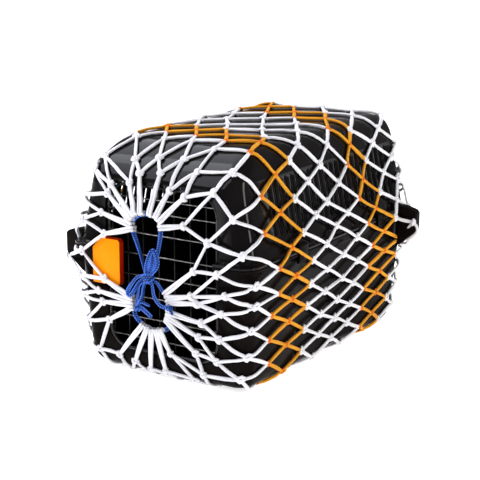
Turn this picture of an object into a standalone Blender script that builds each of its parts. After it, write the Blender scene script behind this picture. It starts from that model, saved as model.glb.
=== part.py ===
"""Small pet crate in its knotted net cover, drawn shut over the door by a tied cord.

Millimetres throughout, turned to metres when a mesh is made. The door looks to -Y,
+Z is up, and the net's underside lies on z = 0. Lengths along Y are counted from the
middle of the crate's floor, and FOOT_CENTRE_Y brings the net's footprint to the origin.
"""
import math

import bpy
from mathutils import Vector

MM = 0.001
FOOT_CENTRE_Y = 4.0
CORNER_STEPS = 6
GAP = 0.3

# Levels of a body, low to high: z, half width, front y, back y, corner radius.
TUB_OUTER = (
    (3.3, 108.0, -188.0, 182.0, 26.0),
    (8.9, 121.4, -201.4, 195.4, 30.0),
    (22.0, 127.0, -207.0, 201.0, 32.0),
    (40.0, 129.0, -210.5, 204.0, 32.0),
    (172.0, 143.0, -217.0, 226.0, 32.0),
    (172.0, 149.5, -228.0, 236.0, 34.0),
    (176.0, 149.5, -228.0, 236.0, 34.0),
)
TUB_INNER = (
    (6.3, 106.0, -186.0, 180.0, 24.0),
    (11.0, 118.4, -198.4, 192.4, 27.0),
    (23.0, 124.0, -204.0, 198.0, 29.0),
    (40.0, 126.0, -207.5, 201.0, 29.0),
    (172.0, 140.0, -214.0, 223.0, 29.0),
    (182.0, 140.0, -214.0, 223.0, 29.0),
)
LID_OUTER = (
    (176.3, 149.5, -228.0, 236.0, 34.0),
    (180.3, 149.5, -228.0, 236.0, 34.0),
    (180.3, 143.0, -217.0, 227.0, 32.0),
    (276.0, 122.8, -214.5, 227.0, 32.0),
    (291.0, 119.6, -204.0, 226.0, 32.0),
    (306.0, 115.4, -185.5, 221.0, 31.0),
    (315.0, 106.0, -168.0, 210.0, 28.0),
    (320.0, 92.0, -150.0, 195.0, 24.0),
)
LID_INNER = (
    (170.0, 140.0, -214.0, 224.0, 29.0),
    (180.3, 140.0, -214.0, 224.0, 29.0),
    (274.5, 119.8, -211.5, 224.0, 29.0),
    (289.0, 116.6, -201.2, 223.0, 29.0),
    (303.4, 112.5, -183.2, 218.0, 28.0),
    (312.0, 103.5, -166.5, 207.5, 25.0),
    (317.0, 90.0, -149.0, 193.0, 22.0),
)
NET_OUTER = (
    (0.0, 110.0, -190.0, 184.0, 27.0),
    (2.6, 118.0, -198.5, 192.5, 30.0),
    (9.0, 127.5, -207.5, 201.5, 33.0),
    (22.0, 132.5, -214.6, 206.6, 35.0),
    (36.0, 134.3, -219.5, 209.0, 35.0),
    (116.0, 147.4, -232.2, 229.0, 37.5),
    (168.0, 156.0, -234.0, 242.0, 39.0),
    (185.0, 156.0, -234.0, 242.0, 39.0),
    (277.5, 129.2, -221.0, 233.0, 38.0),
    (293.0, 125.2, -209.8, 231.8, 38.0),
    (308.5, 120.6, -191.0, 226.2, 36.0),
    (319.0, 110.4, -172.6, 214.5, 32.0),
    (325.5, 94.0, -152.5, 197.5, 26.0),
)
NET_INNER = (
    (3.0, 109.2, -189.2, 183.2, 27.0),
    (5.0, 115.0, -195.5, 189.5, 29.0),
    (10.2, 124.4, -204.4, 198.4, 31.0),
    (22.6, 129.4, -211.5, 203.5, 33.0),
    (36.6, 131.3, -216.4, 206.0, 33.0),
    (116.2, 144.4, -229.1, 226.1, 35.5),
    (168.2, 153.0, -231.0, 239.0, 37.0),
    (184.6, 153.0, -231.0, 239.0, 37.0),
    (276.6, 126.2, -218.0, 230.0, 36.0),
    (291.6, 122.3, -207.2, 228.8, 36.0),
    (306.6, 118.0, -189.0, 223.4, 34.0),
    (316.6, 108.4, -171.2, 212.4, 30.0),
    (322.5, 93.2, -151.8, 196.6, 25.0),
)

# Door: opening cut in tub and lid, then the one-piece wire door that closes it.
DOOR_HALF_WIDTH = 92.0
DOOR_BOTTOM = 34.0
DOOR_TOP = 270.0
DOOR_CORNER = 34.0
DOOR_FRONT = -213.6
DOOR_DEPTH = 5.0
DOOR_RIM = 6.0
WIRE = 3.0
UPRIGHT_FIRST = -83.5
UPRIGHT_PITCH = 25.8
UPRIGHTS = 7
CROSS_WIRES = (55.0, 84.0, 113.5, 143.0, 172.5, 202.0, 231.5, 250.0)

# Slots through the lid, the same on both sides.
VENT_FIRST = -146.0
VENT_PITCH = 15.0
VENTS = 23
VENT_WIDTH = 6.0
VENT_LOW = 205.0
VENT_HIGH = 280.0

# Closing wings at two corners of the waist, as drawn outlines in X and Z.
WING_OUTLINE = (
    (146.0, 126.0), (154.0, 130.0), (176.0, 147.0), (180.5, 152.0), (180.5, 171.0),
    (176.0, 175.5), (154.0, 184.5), (146.0, 186.0), (146.0, 180.9), (150.1, 180.9),
    (150.1, 171.4), (146.0, 171.4),
)
WING_LEFT_Y = -188.0
WING_RIGHT_Y = 192.0
WING_THICKNESS = 15.0
CLIP_OUTLINE = (
    (146.0, 162.0), (149.0, 162.0), (151.4, 165.0), (151.4, 187.0), (149.0, 190.0),
    (146.0, 190.0), (146.0, 180.9), (149.9, 180.9), (149.9, 171.4), (146.0, 171.4),
)
CLIP_WIDTH = 24.0
CLIP_PLACES = (("front_clip", -95.0), ("back_clip", 130.0))

# Orange latch: face outline in X and Z, and how it stands off the wire door.
LATCH_FACE = (
    (-107.0, 127.0), (-63.0, 127.0), (-60.0, 130.0), (-60.0, 189.0), (-63.0, 192.0),
    (-92.0, 192.0), (-107.0, 177.0),
)
LATCH_FRONT = -227.0
LATCH_BACK = -218.0
LATCH_FOOT = (-87.0, -63.0, 140.0, 170.0)

# The net's drawn mouth with the two great meshes beside it, as an outline in X and Z.
MOUTH = (
    (-40.0, 224.0), (-32.0, 235.0), (-10.0, 241.0), (9.0, 239.0), (22.0, 231.0),
    (50.0, 227.0), (80.0, 207.0), (86.0, 186.0), (72.0, 152.0), (54.0, 137.0),
    (33.0, 130.0), (33.0, 108.0), (31.0, 88.0), (20.0, 75.0), (-4.0, 72.0),
    (-26.0, 75.0), (-40.0, 90.0), (-46.0, 108.0), (-47.0, 126.0), (-74.0, 140.0),
    (-92.0, 164.0), (-95.0, 190.0), (-76.0, 206.0), (-52.0, 212.0),
)

# Drawcord routes by name: points (x, y, z) that the cord's centre passes.
CORD_RADIUS = 2.0
BOW_KNOT = (-5.0, -238.0, 150.0)
BOW_KNOT_SIZE = (10.0, 7.0, 10.0)
CORDS = {
    "cord_upper_run": (
        (-13.0, -235.0, 161.5), (-18.0, -234.0, 178.0), (-25.0, -232.0, 195.0),
        (-32.0, -230.0, 210.0), (-32.0, -229.0, 223.0), (-24.0, -228.0, 231.0),
        (-10.0, -228.0, 234.0), (4.0, -228.0, 232.0), (13.0, -229.0, 226.0),
        (16.0, -231.0, 214.0), (14.0, -232.0, 198.0), (10.0, -232.0, 182.0),
        (5.0, -232.0, 164.0),
    ),
    "cord_lower_run": (
        (7.0, -235.0, 143.5), (13.0, -233.0, 135.0), (20.0, -231.0, 127.0),
        (25.0, -229.0, 114.0), (26.0, -228.0, 100.0), (22.0, -227.0, 88.0),
        (12.0, -226.0, 81.0), (-4.0, -226.0, 79.0), (-19.0, -226.0, 82.0),
        (-29.0, -227.0, 90.0), (-36.0, -228.0, 101.0), (-39.0, -229.0, 113.0),
        (-35.0, -231.0, 124.0), (-26.0, -232.0, 134.0), (-15.0, -233.5, 142.0),
    ),
    "bow_standing_loop": (
        (-9.0, -243.5, 160.0), (-11.0, -244.0, 169.0), (-6.0, -243.0, 180.0),
        (1.0, -241.0, 189.0), (5.0, -240.0, 190.0), (9.0, -240.5, 183.0),
        (10.0, -242.0, 172.0), (5.0, -243.5, 163.5), (1.5, -243.5, 160.5),
    ),
    "bow_left_loop": (
        (-16.5, -241.0, 152.0), (-24.0, -242.0, 148.0), (-34.0, -242.0, 138.0),
        (-40.0, -241.0, 129.0), (-38.0, -240.0, 122.5), (-31.0, -240.0, 123.5),
        (-25.0, -240.5, 132.0), (-17.5, -241.0, 142.5),
    ),
    "tail_left_outer": (
        (-12.0, -240.5, 137.8), (-18.0, -240.0, 130.0), (-24.0, -238.5, 120.0),
        (-29.0, -237.0, 111.0),
    ),
    "tail_left_inner": (
        (-5.0, -240.0, 137.0), (-8.5, -240.5, 128.0), (-13.0, -240.5, 119.0),
        (-22.0, -240.0, 113.0),
    ),
    "tail_right": (
        (2.5, -240.5, 138.0), (5.0, -241.0, 128.0), (9.0, -240.5, 119.0),
        (14.0, -239.0, 112.5), (20.6, -238.0, 110.5),
    ),
}
CORD_CLEARANCE = 0.7
CORD_LEAD = 2.5
END_KNOT_RADIUS = 4.5
END_KNOTS = {
    "end_knot_left": (
        (-24.5, -237.0, 105.0),
        (((-16.0, -238.0, 105.5), (-2.0, -238.5, 111.5)),
         ((-17.0, -238.0, 101.0), (1.0, -239.5, 93.0))),
    ),
    "end_knot_right": (
        (27.5, -238.0, 111.0),
        (((30.0, -238.5, 108.5), (35.5, -239.0, 103.0)),),
    ),
}
TAIL_ENDS = {
    "tail_left_outer": "end_knot_left",
    "tail_left_inner": "end_knot_left",
    "tail_right": "end_knot_right",
}


def material(name, rgb, metallic, roughness):
    made = bpy.data.materials.new(name)
    made.use_nodes = True
    shader = made.node_tree.nodes["Principled BSDF"]
    shader.inputs["Base Color"].default_value = (*rgb, 1.0)
    shader.inputs["Metallic"].default_value = metallic
    shader.inputs["Roughness"].default_value = roughness
    return made


def placed(point):
    return (Vector(point) - Vector((0.0, FOOT_CENTRE_Y, 0.0))) * MM


def mesh_object(name, points, faces, surface=None):
    mesh = bpy.data.meshes.new(name)
    mesh.from_pydata([placed(point) for point in points], [], faces)
    mesh.validate()
    made = bpy.data.objects.new(name, mesh)
    bpy.context.collection.objects.link(made)
    if surface:
        mesh.materials.append(surface)
    return made


def rounded_ring(level):
    z, half, front, back, radius = level
    corners = (
        (half - radius, back - radius, 0),
        (radius - half, back - radius, 90),
        (radius - half, front + radius, 180),
        (half - radius, front + radius, 270),
    )
    ring = []
    for centre_x, centre_y, start in corners:
        for step in range(CORNER_STEPS + 1):
            angle = math.radians(start + 90 * step / CORNER_STEPS)
            ring.append((centre_x + radius * math.cos(angle),
                         centre_y + radius * math.sin(angle), z))
    return ring


def stacked_body(name, levels, surface=None):
    rings = [rounded_ring(level) for level in levels]
    count = len(rings[0])
    points = [point for ring in rings for point in ring]
    faces = [tuple(reversed(range(count)))]
    for level in range(len(rings) - 1):
        low, high = level * count, (level + 1) * count
        for i in range(count):
            j = (i + 1) % count
            faces.append((low + i, low + j, high + j, high + i))
    faces.append(tuple(range((len(rings) - 1) * count, len(rings) * count)))
    return mesh_object(name, points, faces, surface)


def y_prism(name, outline, front, back, surface=None):
    """Solid between two y planes whose outline runs in X and Z, either way round."""
    area = sum(a[0] * b[1] - b[0] * a[1]
               for a, b in zip(outline, outline[1:] + outline[:1]))
    turn = list(outline) if area > 0 else list(reversed(outline))
    count = len(turn)
    points = [(x, front, z) for x, z in turn] + [(x, back, z) for x, z in turn]
    faces = [tuple(range(count)), tuple(reversed(range(count, 2 * count)))]
    for i in range(count):
        j = (i + 1) % count
        faces.append((j, i, count + i, count + j))
    return mesh_object(name, points, faces, surface)


def block(name, low, high, surface=None):
    outline = ((low[0], low[2]), (high[0], low[2]), (high[0], high[2]), (low[0], high[2]))
    return y_prism(name, outline, low[1], high[1], surface)


def joined_blocks(name, boxes):
    """Separate blocks in one mesh, for a cutter that makes many slots at once."""
    points, faces = [], []
    for low, high in boxes:
        first = len(points)
        for x in (low[0], high[0]):
            for y in (low[1], high[1]):
                for z in (low[2], high[2]):
                    points.append((x, y, z))
        for face in ((0, 1, 3, 2), (4, 6, 7, 5), (0, 4, 5, 1),
                     (2, 3, 7, 6), (0, 2, 6, 4), (1, 5, 7, 3)):
            faces.append(tuple(first + i for i in face))
    return mesh_object(name, points, faces)


def combine(target, tool, operation):
    step = target.modifiers.new("step", "BOOLEAN")
    step.operation = operation
    step.solver = "EXACT"
    step.object = tool
    graph = bpy.context.evaluated_depsgraph_get()
    result = bpy.data.meshes.new_from_object(target.evaluated_get(graph))
    target.modifiers.clear()
    old = target.data
    target.data = result
    bpy.data.meshes.remove(old)
    bpy.data.objects.remove(tool, do_unlink=True)


def rounded_rectangle(half, low, high, radius):
    corners = (
        (half - radius, high - radius, 0),
        (radius - half, high - radius, 90),
        (radius - half, low + radius, 180),
        (half - radius, low + radius, 270),
    )
    outline = []
    for centre_x, centre_z, start in corners:
        for step in range(CORNER_STEPS + 1):
            angle = math.radians(start + 90 * step / CORNER_STEPS)
            outline.append((centre_x + radius * math.cos(angle),
                            centre_z + radius * math.sin(angle)))
    return tuple(outline)


def door_hole(name):
    outline = rounded_rectangle(DOOR_HALF_WIDTH, DOOR_BOTTOM, DOOR_TOP, DOOR_CORNER)
    return y_prism(name, outline, -245.0, -150.0)


def latch_pocket(name):
    return block(name, (-110.0, -245.0, 120.0), (-80.0, -217.4, 196.0))


def build_tub(surface):
    tub = stacked_body("crate_tub", TUB_OUTER, surface)
    combine(tub, stacked_body("hollow", TUB_INNER), "DIFFERENCE")
    combine(tub, door_hole("doorway"), "DIFFERENCE")
    combine(tub, latch_pocket("pocket"), "DIFFERENCE")
    return tub


def build_lid(surface):
    lid = stacked_body("crate_lid", LID_OUTER, surface)
    combine(lid, stacked_body("hollow", LID_INNER), "DIFFERENCE")
    combine(lid, door_hole("doorway"), "DIFFERENCE")
    combine(lid, latch_pocket("pocket"), "DIFFERENCE")
    slots = []
    for place in range(VENTS):
        y = VENT_FIRST + place * VENT_PITCH
        slots.append(((-160.0, y - VENT_WIDTH / 2, VENT_LOW),
                      (160.0, y + VENT_WIDTH / 2, VENT_HIGH)))
    combine(lid, joined_blocks("vents", slots), "DIFFERENCE")
    return lid


def build_door(surface):
    """Rim and crossing wires of one welded piece."""
    outer = rounded_rectangle(DOOR_HALF_WIDTH - 0.5, DOOR_BOTTOM + 0.5, DOOR_TOP - 0.5,
                              DOOR_CORNER - 0.5)
    inner = rounded_rectangle(DOOR_HALF_WIDTH - DOOR_RIM, DOOR_BOTTOM + DOOR_RIM,
                              DOOR_TOP - DOOR_RIM, DOOR_CORNER - DOOR_RIM)
    back = DOOR_FRONT + DOOR_DEPTH
    door = y_prism("wire_door", outer, DOOR_FRONT, back, surface)
    combine(door, y_prism("light", inner, DOOR_FRONT - 5, back + 5), "DIFFERENCE")
    reach = DOOR_HALF_WIDTH - 3.0
    for place in range(UPRIGHTS):
        x = UPRIGHT_FIRST + place * UPRIGHT_PITCH
        cut = max(0.0, abs(x) - (DOOR_HALF_WIDTH - DOOR_CORNER))
        rise = DOOR_CORNER - math.sqrt(max(0.0, DOOR_CORNER ** 2 - cut ** 2)) + 3.0
        wire = block("wire", (x - WIRE / 2, DOOR_FRONT + 1.0, DOOR_BOTTOM + rise),
                     (x + WIRE / 2, DOOR_FRONT + 4.0, DOOR_TOP - rise))
        combine(door, wire, "UNION")
    for z in CROSS_WIRES:
        low = max(0.0, DOOR_BOTTOM + DOOR_CORNER - z, z - DOOR_TOP + DOOR_CORNER)
        inset = DOOR_CORNER - math.sqrt(max(0.0, DOOR_CORNER ** 2 - low ** 2))
        wire = block("wire", (-reach + inset, DOOR_FRONT + 0.6, z - WIRE / 2),
                     (reach - inset, DOOR_FRONT + 3.4, z + WIRE / 2))
        combine(door, wire, "UNION")
    return door


def build_latch(surface):
    latch = y_prism("door_latch", LATCH_FACE, LATCH_FRONT, LATCH_BACK, surface)
    left, right, low, high = LATCH_FOOT
    foot = block("foot", (left, LATCH_BACK - 1.0, low), (right, DOOR_FRONT - GAP, high))
    combine(latch, foot, "UNION")
    return latch


def build_net(surface):
    net = stacked_body("net_cover", NET_OUTER, surface)
    combine(net, stacked_body("hollow", NET_INNER), "DIFFERENCE")
    combine(net, y_prism("mouth", MOUTH, -250.0, -205.0), "DIFFERENCE")
    half = WING_THICKNESS / 2 + 3.0
    for name, y, side in (("left", WING_LEFT_Y, -1), ("right", WING_RIGHT_Y, 1)):
        near, far = sorted((side * 140.0, side * 190.0))
        window = block(name, (near, y - half, 122.0), (far, y + half, 190.0))
        combine(net, window, "DIFFERENCE")
    return net


def side_plate(name, outline, side, y, width, surface):
    turned = tuple((side * x, z) for x, z in outline)
    return y_prism(name, turned, y - width / 2, y + width / 2, surface)


def smooth_route(points, spacing):
    """Even steps along a curve that passes every given point."""
    knots = [Vector(p) for p in points]
    ends = [2 * knots[0] - knots[1]] + knots + [2 * knots[-1] - knots[-2]]
    fine = []
    for i in range(1, len(ends) - 2):
        before, start, finish, after = ends[i - 1:i + 3]
        for step in range(24):
            t = step / 24
            fine.append(0.5 * ((2 * start) + (finish - before) * t
                               + (2 * before - 5 * start + 4 * finish - after) * t ** 2
                               + (3 * start - before - 3 * finish + after) * t ** 3))
    fine.append(knots[-1])
    length = sum((b - a).length for a, b in zip(fine, fine[1:]))
    count = max(3, round(length / spacing))
    route, walked, target = [fine[0]], 0.0, length / count
    for a, b in zip(fine, fine[1:]):
        run = (b - a).length
        while walked + run >= target and len(route) < count:
            route.append(a.lerp(b, (target - walked) / run))
            target += length / count
        walked += run
    route.append(fine[-1])
    return route


def against_knot(point, centre, size):
    """A cord's last two points as it comes straight up to a knot and stops just clear."""
    away = Vector(point) - Vector(centre)
    surface = Vector(centre) + away / math.sqrt(sum((a / s) ** 2 for a, s in zip(away, size)))
    stop = surface + away.normalized() * CORD_CLEARANCE
    return stop, stop + away.normalized() * CORD_LEAD


def seated(name, points):
    """The route with its ends brought up to the knots that they run into."""
    centre, size = BOW_KNOT, BOW_KNOT_SIZE
    start, leaving = against_knot(points[0], centre, size)
    if name in TAIL_ENDS:
        centre, size = END_KNOTS[TAIL_ENDS[name]][0], (END_KNOT_RADIUS,) * 3
    finish, arriving = against_knot(points[-1], centre, size)
    return (start, leaving, *points[1:-1], arriving, finish)


def build_cord(name, points, surface):
    curve = bpy.data.curves.new(name, "CURVE")
    curve.dimensions = "3D"
    curve.bevel_depth = CORD_RADIUS * MM
    curve.bevel_resolution = 2
    curve.use_fill_caps = True
    route = smooth_route(points, 2.2 * CORD_RADIUS)
    spline = curve.splines.new("POLY")
    spline.points.add(len(route) - 1)
    for place, point in zip(spline.points, route):
        place.co = (*placed(point), 1.0)
    curve.materials.append(surface)
    made = bpy.data.objects.new(name, curve)
    bpy.context.collection.objects.link(made)
    return made


def ball(name, centre, size, surface=None, rows=8, columns=12):
    points = [(centre[0], centre[1], centre[2] - size[2])]
    for row in range(1, rows):
        tilt = math.pi * row / rows
        for column in range(columns):
            turn = 2 * math.pi * column / columns
            points.append((centre[0] + size[0] * math.sin(tilt) * math.cos(turn),
                           centre[1] + size[1] * math.sin(tilt) * math.sin(turn),
                           centre[2] - size[2] * math.cos(tilt)))
    points.append((centre[0], centre[1], centre[2] + size[2]))
    top = len(points) - 1
    faces = []
    for column in range(columns):
        after = (column + 1) % columns
        faces.append((0, 1 + after, 1 + column))
        for row in range(rows - 2):
            low, high = 1 + row * columns, 1 + (row + 1) * columns
            faces.append((low + column, low + after, high + after, high + column))
        last = 1 + (rows - 2) * columns
        faces.append((last + column, last + after, top))
    return mesh_object(name, points, faces, surface)


def flat_end(start, finish):
    """Short flat end of the braid, square-cut, wider up and down than it is thick."""
    along = (Vector(finish) - Vector(start)).normalized()
    thin = Vector((0.0, 1.0, 0.0))
    wide = along.cross(thin).normalized()
    points = []
    for centre in (Vector(start), Vector(finish)):
        for across, deep in ((-2.6, -1.2), (2.6, -1.2), (2.6, 1.2), (-2.6, 1.2)):
            points.append(centre + wide * across + thin * deep)
    faces = ((0, 1, 2, 3), (7, 6, 5, 4), (0, 4, 5, 1), (1, 5, 6, 2), (2, 6, 7, 3), (3, 7, 4, 0))
    return mesh_object("end", points, faces)


def build_end_knot(name, centre, ends, surface):
    size = (END_KNOT_RADIUS,) * 3
    knot = ball(name, centre, size, surface, rows=6, columns=10)
    for start, finish in ends:
        inside = Vector(start).lerp(Vector(centre), 0.6)
        combine(knot, flat_end(inside, finish), "UNION")
    return knot


def main():
    for old in list(bpy.data.objects):
        bpy.data.objects.remove(old, do_unlink=True)
    black = material("crate_black", (0.012, 0.012, 0.014), 0.0, 0.25)
    wire_black = material("wire_black", (0.03, 0.03, 0.033), 0.0, 0.35)
    orange = material("latch_orange", (1.0, 0.30, 0.01), 0.0, 0.35)
    white = material("net_white", (0.88, 0.88, 0.9), 0.0, 0.85)
    blue = material("cord_blue", (0.03, 0.12, 0.62), 0.0, 0.8)

    build_tub(black)
    build_lid(black)
    build_door(wire_black)
    build_latch(orange)
    side_plate("left_wing", WING_OUTLINE, -1, WING_LEFT_Y, WING_THICKNESS, black)
    side_plate("right_wing", WING_OUTLINE, 1, WING_RIGHT_Y, WING_THICKNESS, black)
    for name, y in CLIP_PLACES:
        side_plate("right_" + name, CLIP_OUTLINE, 1, y, CLIP_WIDTH, black)
        side_plate("left_" + name, CLIP_OUTLINE, -1, y, CLIP_WIDTH, black)
    build_net(white)
    for name, points in CORDS.items():
        build_cord(name, seated(name, points), blue)
    ball("bow_knot", BOW_KNOT, BOW_KNOT_SIZE, blue)
    for name, (centre, ends) in END_KNOTS.items():
        build_end_knot(name, centre, ends, blue)


main()
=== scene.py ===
"""Looks of a small pet crate in its knotted net cover, drawn shut by a flat blue cord.

Lengths are millimetres until a mesh is made. X runs to the right of someone facing the
door, Y from the door to the back and Z up. Y is counted from the middle of the crate's
floor, and FOOT_CENTRE_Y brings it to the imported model's origin.
"""
import math
import random

import bmesh
import bpy
from mathutils import Matrix, Vector
from mathutils.bvhtree import BVHTree


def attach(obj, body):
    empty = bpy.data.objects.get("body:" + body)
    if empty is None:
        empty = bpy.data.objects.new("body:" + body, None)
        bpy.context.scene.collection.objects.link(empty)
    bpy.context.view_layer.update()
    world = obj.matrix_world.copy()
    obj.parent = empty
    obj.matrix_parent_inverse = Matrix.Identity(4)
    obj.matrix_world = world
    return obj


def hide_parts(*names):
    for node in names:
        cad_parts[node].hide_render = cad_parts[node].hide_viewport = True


MM = 0.001
FOOT_CENTRE_Y = 4
FORWARD = Vector((0, -1, 0))
BACKWARD = Vector((0, 1, 0))

# ---- the crate's mouldings
# Levels of a body, low to high: z, half width, front y, back y, front and back corner radius.
TUB_OUTER = (
    (3.3, 112.5, -189, 187, 17, 17),
    (5.2, 120.5, -197, 196, 19, 18),
    (8.9, 126.5, -203, 203, 20, 18),
    (14, 130, -206.5, 207, 21, 18),
    (22, 132.3, -209, 209.5, 21, 18),
    (40, 134.5, -212, 212.5, 21, 19),
    (166, 143, -216.7, 229, 21, 22),
    (170.5, 143.6, -218, 230, 21, 22),
    (172, 146, -222, 232.5, 23, 24),
    (172.4, 149, -227.4, 235.4, 25, 26),
    (173.2, 149.5, -228, 236, 25, 26),
    (175.2, 149.5, -228, 236, 25, 26),
    (176, 149, -227.4, 235.4, 25, 26),
)
TUB_INNER = (
    (6.3, 108, -187, 182, 16, 22),
    (11, 121, -200, 197, 18, 22),
    (23, 127, -206, 203, 19, 22),
    (40, 129.5, -209, 206, 19, 21),
    (172, 140, -214, 225, 19, 20),
    (182, 140, -214, 225, 19, 20),
)
LID_OUTER = (
    (176.4, 149, -227.4, 235.4, 25, 26),
    (177.2, 149.5, -228, 236, 25, 26),
    (179.2, 149.5, -228, 236, 25, 26),
    (180.1, 149, -227.4, 235.4, 25, 26),
    (180.4, 146, -222, 232, 24, 24),
    (182, 143.4, -218, 230, 23, 22),
    (186, 141.8, -216.9, 229.6, 23, 21),
    (262, 126.4, -214.8, 230, 23, 20),
    (276, 123.6, -213, 230, 23, 20),
    (284, 122, -209.2, 230, 23, 20),
    (291, 120.4, -203.4, 229.6, 23, 20),
    (299, 118.2, -194.8, 228.6, 22.5, 20),
    (306, 115.2, -185, 226.6, 22, 20),
    (311, 112.2, -176.2, 225, 20.5, 19.5),
    (316, 107.6, -167, 221.6, 19, 19),
    (319.6, 102, -158, 216.4, 17, 18),
    (322.4, 94, -147, 209, 15, 17),
    (324.4, 78, -124, 194, 15, 17),
)
LID_INNER = (
    (170, 140, -214, 226, 21, 20),
    (180.3, 140, -214, 226, 21, 20),
    (274.5, 120.4, -210, 227, 21, 17),
    (289, 117, -200, 226, 21, 17),
    (303.4, 112.4, -182, 223, 20, 17),
    (312, 103.4, -165, 216, 17, 16),
    (317.8, 88, -146, 201, 14, 15),
)
CORNER_STEPS = 14
CURVE_STEPS = 16
DOOR_HALF_WIDTH = 92
DOOR_BOTTOM = 34
DOOR_TOP = 270
DOOR_CORNER = 34
DOOR_FRONT = -213.6
# How far the cutting bodies reach: before the front, behind it, and past the sides.
CUT_FRONT = -245
CUT_BACK = -150
CUT_SIDE = 160
VENTS = 23
VENT_FIRST = -146
VENT_PITCH = 15
VENT_WIDTH = 6
VENT_LOW = 205
VENT_HIGH = 280
PANEL_FRONT = -96
PANEL_BACK = 96
PANEL_LOW = 18
PANEL_HIGH = 162
PANEL_DEPTH = 2.2
PANEL_RAMP = 9
PANEL_CLEAR = 0.4
SHELL_EDGE = 0.7
# Angles, in degrees, from which an edge is rounded or shaded sharp.
SOFT_EDGE_ANGLE = 30
SHELL_CREASE = 35
SMALL_PART_CREASE = 40

# Closing wings at two corners of the waist, as X and Z outlines of the right one.
WING_OUTLINE = (
    (146, 126), (154, 130), (176, 149), (180.5, 154), (180.5, 181),
    (177, 185), (160, 190), (146, 191), (146, 180.9), (150.1, 180.9),
    (150.1, 171.4), (146, 171.4),
)
WING_THICKNESS = 15
WINGS = (("left_wing", -1, -188), ("right_wing", 1, 192))
CLIPS = ("left_front_clip", "left_back_clip", "right_front_clip", "right_back_clip")
WING_EDGE = 2
CLIP_EDGE = 1.6

# ---- the wire door and latch
UPRIGHT_FIRST = -83.5
UPRIGHT_PITCH = 25.8
UPRIGHTS = 7
CROSS_WIRES = (55, 84, 113.5, 143, 172.5, 202, 231.5, 250)
WIRE_RADIUS = 0.9
RIM_HALF_WIDTH = 2.5
RIM_HALF_DEPTH = 2.1
RIM_INSET = 3.2
# Depths behind the door's front: the rim, and the wires before and behind its middle.
RIM_DEPTH = 2.4
UPRIGHTS_BEHIND = 0.9
CROSS_WIRES_BEFORE = 1
LATCH_FACE = ((-107, 127), (-63, 127), (-60, 130), (-60, 189), (-63, 192), (-92, 192), (-107, 177))
LATCH_FRONT = -227
LATCH_BACK = -218
LATCH_EDGE = 1.1
FOOT_OVERLAP = 1
FOOT_CLEAR = 0.3
LATCH_FOOT = ((-87, 140), (-63, 140), (-63, 170), (-87, 170))
LATCH_POCKET = ((-110, 120), (-80, 120), (-80, 196), (-110, 196))
POCKET_BACK = -217.4

# ---- the net
COLUMNS = 25
CORD_LIFT = 2.6
FLOOR_GAP = 0.2
GIRTH_RAYS = 240
GIRTH_HEIGHT = 165
BACK_RAY_START = (0, 110, GIRTH_HEIGHT)
# Columns of knots from the top over the right side, counted from the shoulder. Each has its
# place along the girth, from the middle of the top, at rings 0, 2, 4, 6, 8 and 10, and how far
# back it has come by then. Past BACK_EDGE the way back turns in over the back wall.
SHOULDER_COLUMNS = {
    -3: ((-49, -46, -45, -29, -31, -33), (-130, -62, 12, 94, 180, 262)),
    -2: ((1, 7, 29, 33, 45, 68), (-132, -67, -8, 74, 141, 184)),
    -1: ((57, 85, 94, 105, 117, 126), (-142, -94, -21, 46, 96, 173)),
    0: ((107, 135, 153, 163, 165, 172), (-159, -87, -13, 60, 116, 194)),
    1: ((164, 185, 204, 215, 216, 208), (-171, -95, -14, 74, 137, 201)),
    2: ((207, 234, 242, 255, 263, 262), (-183, -89, -3, 84, 171, 236)),
    3: ((265, 277, 286, 293, 300, 300), (-161, -70, 19, 106, 197, 262)),
    4: ((303, 310, 324, 323, 325, 325), (-153, -70, 23, 100, 191, 258)),
    5: ((328, 343, 354, 358, 357, 352), (-167, -74, 14, 96, 175, 240)),
    6: ((363, 377, 383, 388, 391, 388), (-167, -75, 14, 94, 175, 236)),
    7: ((400, 409, 411, 418, 423, 425), (-163, -75, 10, 97, 161, 225)),
}
LAST_SHOULDER = 7
FIRST_LEFT = -4
LAST_LEFT = -11
LEFT_SIDE_COLUMNS = 3
# Ways back of the columns under the floor and on the left at the same rings, and their drift.
UNDER_WAY = (-158, -73, 12, 95, 172, 236)
LEFT_WAY = (-126, -55, 28, 122, 212, 275)
UNDER_DRIFT = (0, 5, 9, 13, 16, 18)
WHOLE_GIRTH = 1116
TABLED_RING = 10
LAST_RING = 14
BACK_EDGE = 216
BACK_GATHER = (0, 243, 165)
BACK_GATHER_RADIUS = 17
BACK_REACH = 0.84
GATHER_HALF_WIDTH = 2.2
GATHER_HALF_THICKNESS = 1.7
GATHER_STEPS = 40
KNOT_SLIP_ROUND = 1
KNOT_SLIP_BACK = 1.2
# Knots held off the walls, by ring and column: over the right wing and just behind it.
PROUD_KNOTS = {(9, 2): (177, 182, 168), (10, 2): (150, 219, 183), (11, 1): (139, 221, 213)}
WING_STRAND = ((9, 2), (10, 3))
WING_CORNERS = ((184, 182.5, 161), (183, 183.5, 152), (171, 186, 141),
                (157, 192, 130.5))

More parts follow.
